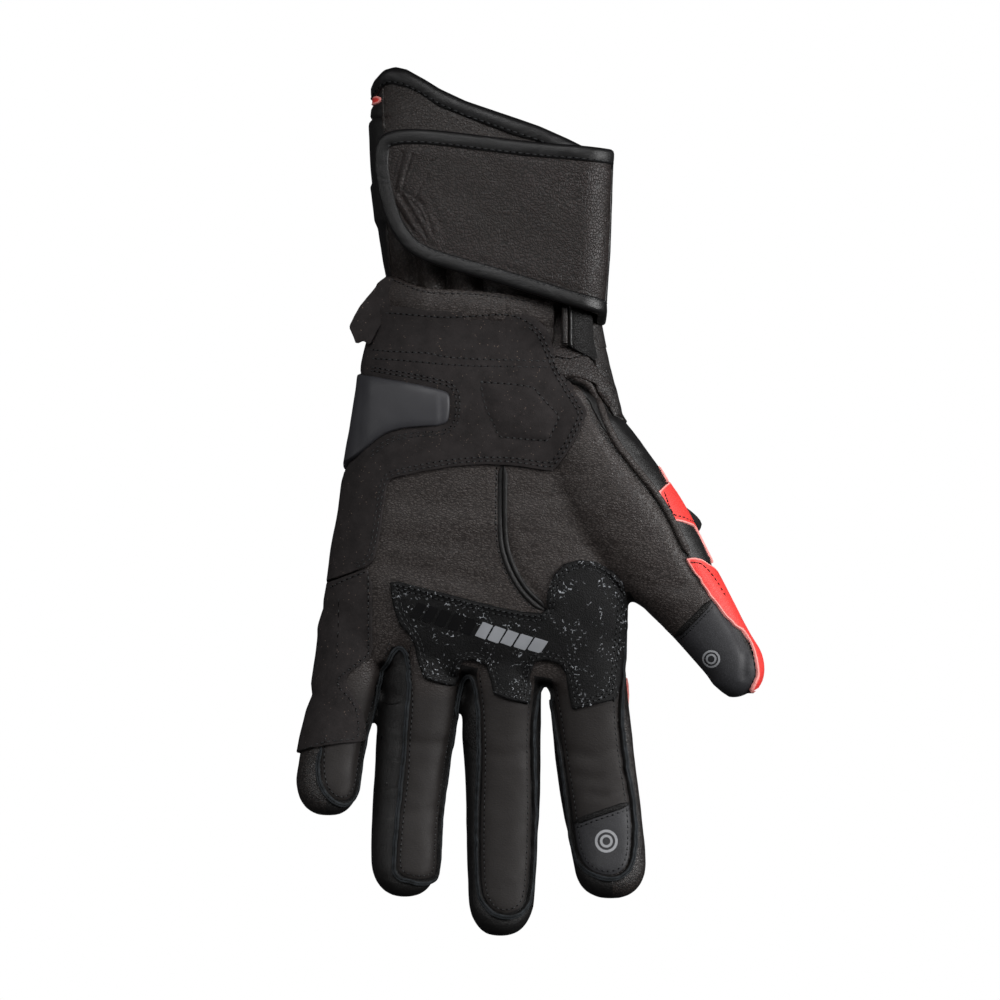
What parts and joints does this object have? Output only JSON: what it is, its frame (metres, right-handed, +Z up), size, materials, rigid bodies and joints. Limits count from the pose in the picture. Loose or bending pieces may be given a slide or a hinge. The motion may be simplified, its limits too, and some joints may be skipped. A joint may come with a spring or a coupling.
{
  "type": "motorcycle glove",
  "caption": "Left-hand long-cuff riding glove, palm up, with flap closure, suede heel, palm slider, grip patch and touch tips.",
  "frame": {"origin": "on the surface the glove lies on, under the middle of its outline", "axes": "+Z up out of the palm, +Y from the fingertips to the cuff mouth, +X towards the thumb"},
  "size_m": [0.1692, 0.3118, 0.0527],
  "materials": {
    "black_leather": "soft grain, satin",
    "smooth_black_leather": "fine grain, satin",
    "grey_touch_leather": "smooth, matt",
    "black_suede": "napped suede, matt",
    "grip_rubber": "crackled rubber coating on leather, glossy flecks",
    "black_binding": "folded synthetic tape, semi-gloss",
    "red_leather": "smooth coral red, satin",
    "grey_plastic": "moulded, matt",
    "black_plastic": "moulded, semi-gloss",
    "black_thread": "bonded sewing thread",
    "silver_print": "silver transfer",
    "black_lining": "inner face of the leather, matt"
  },
  "bodies": {
    "root": {"palm_leather": "black_leather", "thumb_leather": "black_leather", "index_touch_tip": "grey_touch_leather", "thumb_touch_tip": "grey_touch_leather", "back_leather": "smooth_black_leather", "fourchette_little_ring": "smooth_black_leather", "fourchette_ring_middle": "smooth_black_leather", "fourchette_middle_index": "smooth_black_leather", "little_side_wall": "smooth_black_leather", "index_side_wall": "smooth_black_leather", "thumb_side_wall": "smooth_black_leather", "cuff_front": "black_leather", "cuff_back": "smooth_black_leather", "mouth_binding": "black_binding", "closure_flap": "black_leather", "flap_binding": "black_binding", "wrist_strap": "black_leather", "strap_keeper": "smooth_black_leather", "strap_end_tab": "black_suede", "heel_patch": "black_suede", "edge_patch": "black_suede", "palm_slider": "grey_plastic", "grip_patch": "grip_rubber", "thumb_red_upper": "red_leather", "thumb_red_lower": "red_leather", "ring_red_panel": "red_leather", "middle_red_panel": "red_leather", "index_red_panel": "red_leather", "cuff_red_panel": "red_leather", "knuckle_guard": "black_plastic", "thumb_guard": "black_plastic"}
  },
  "joints": []
}
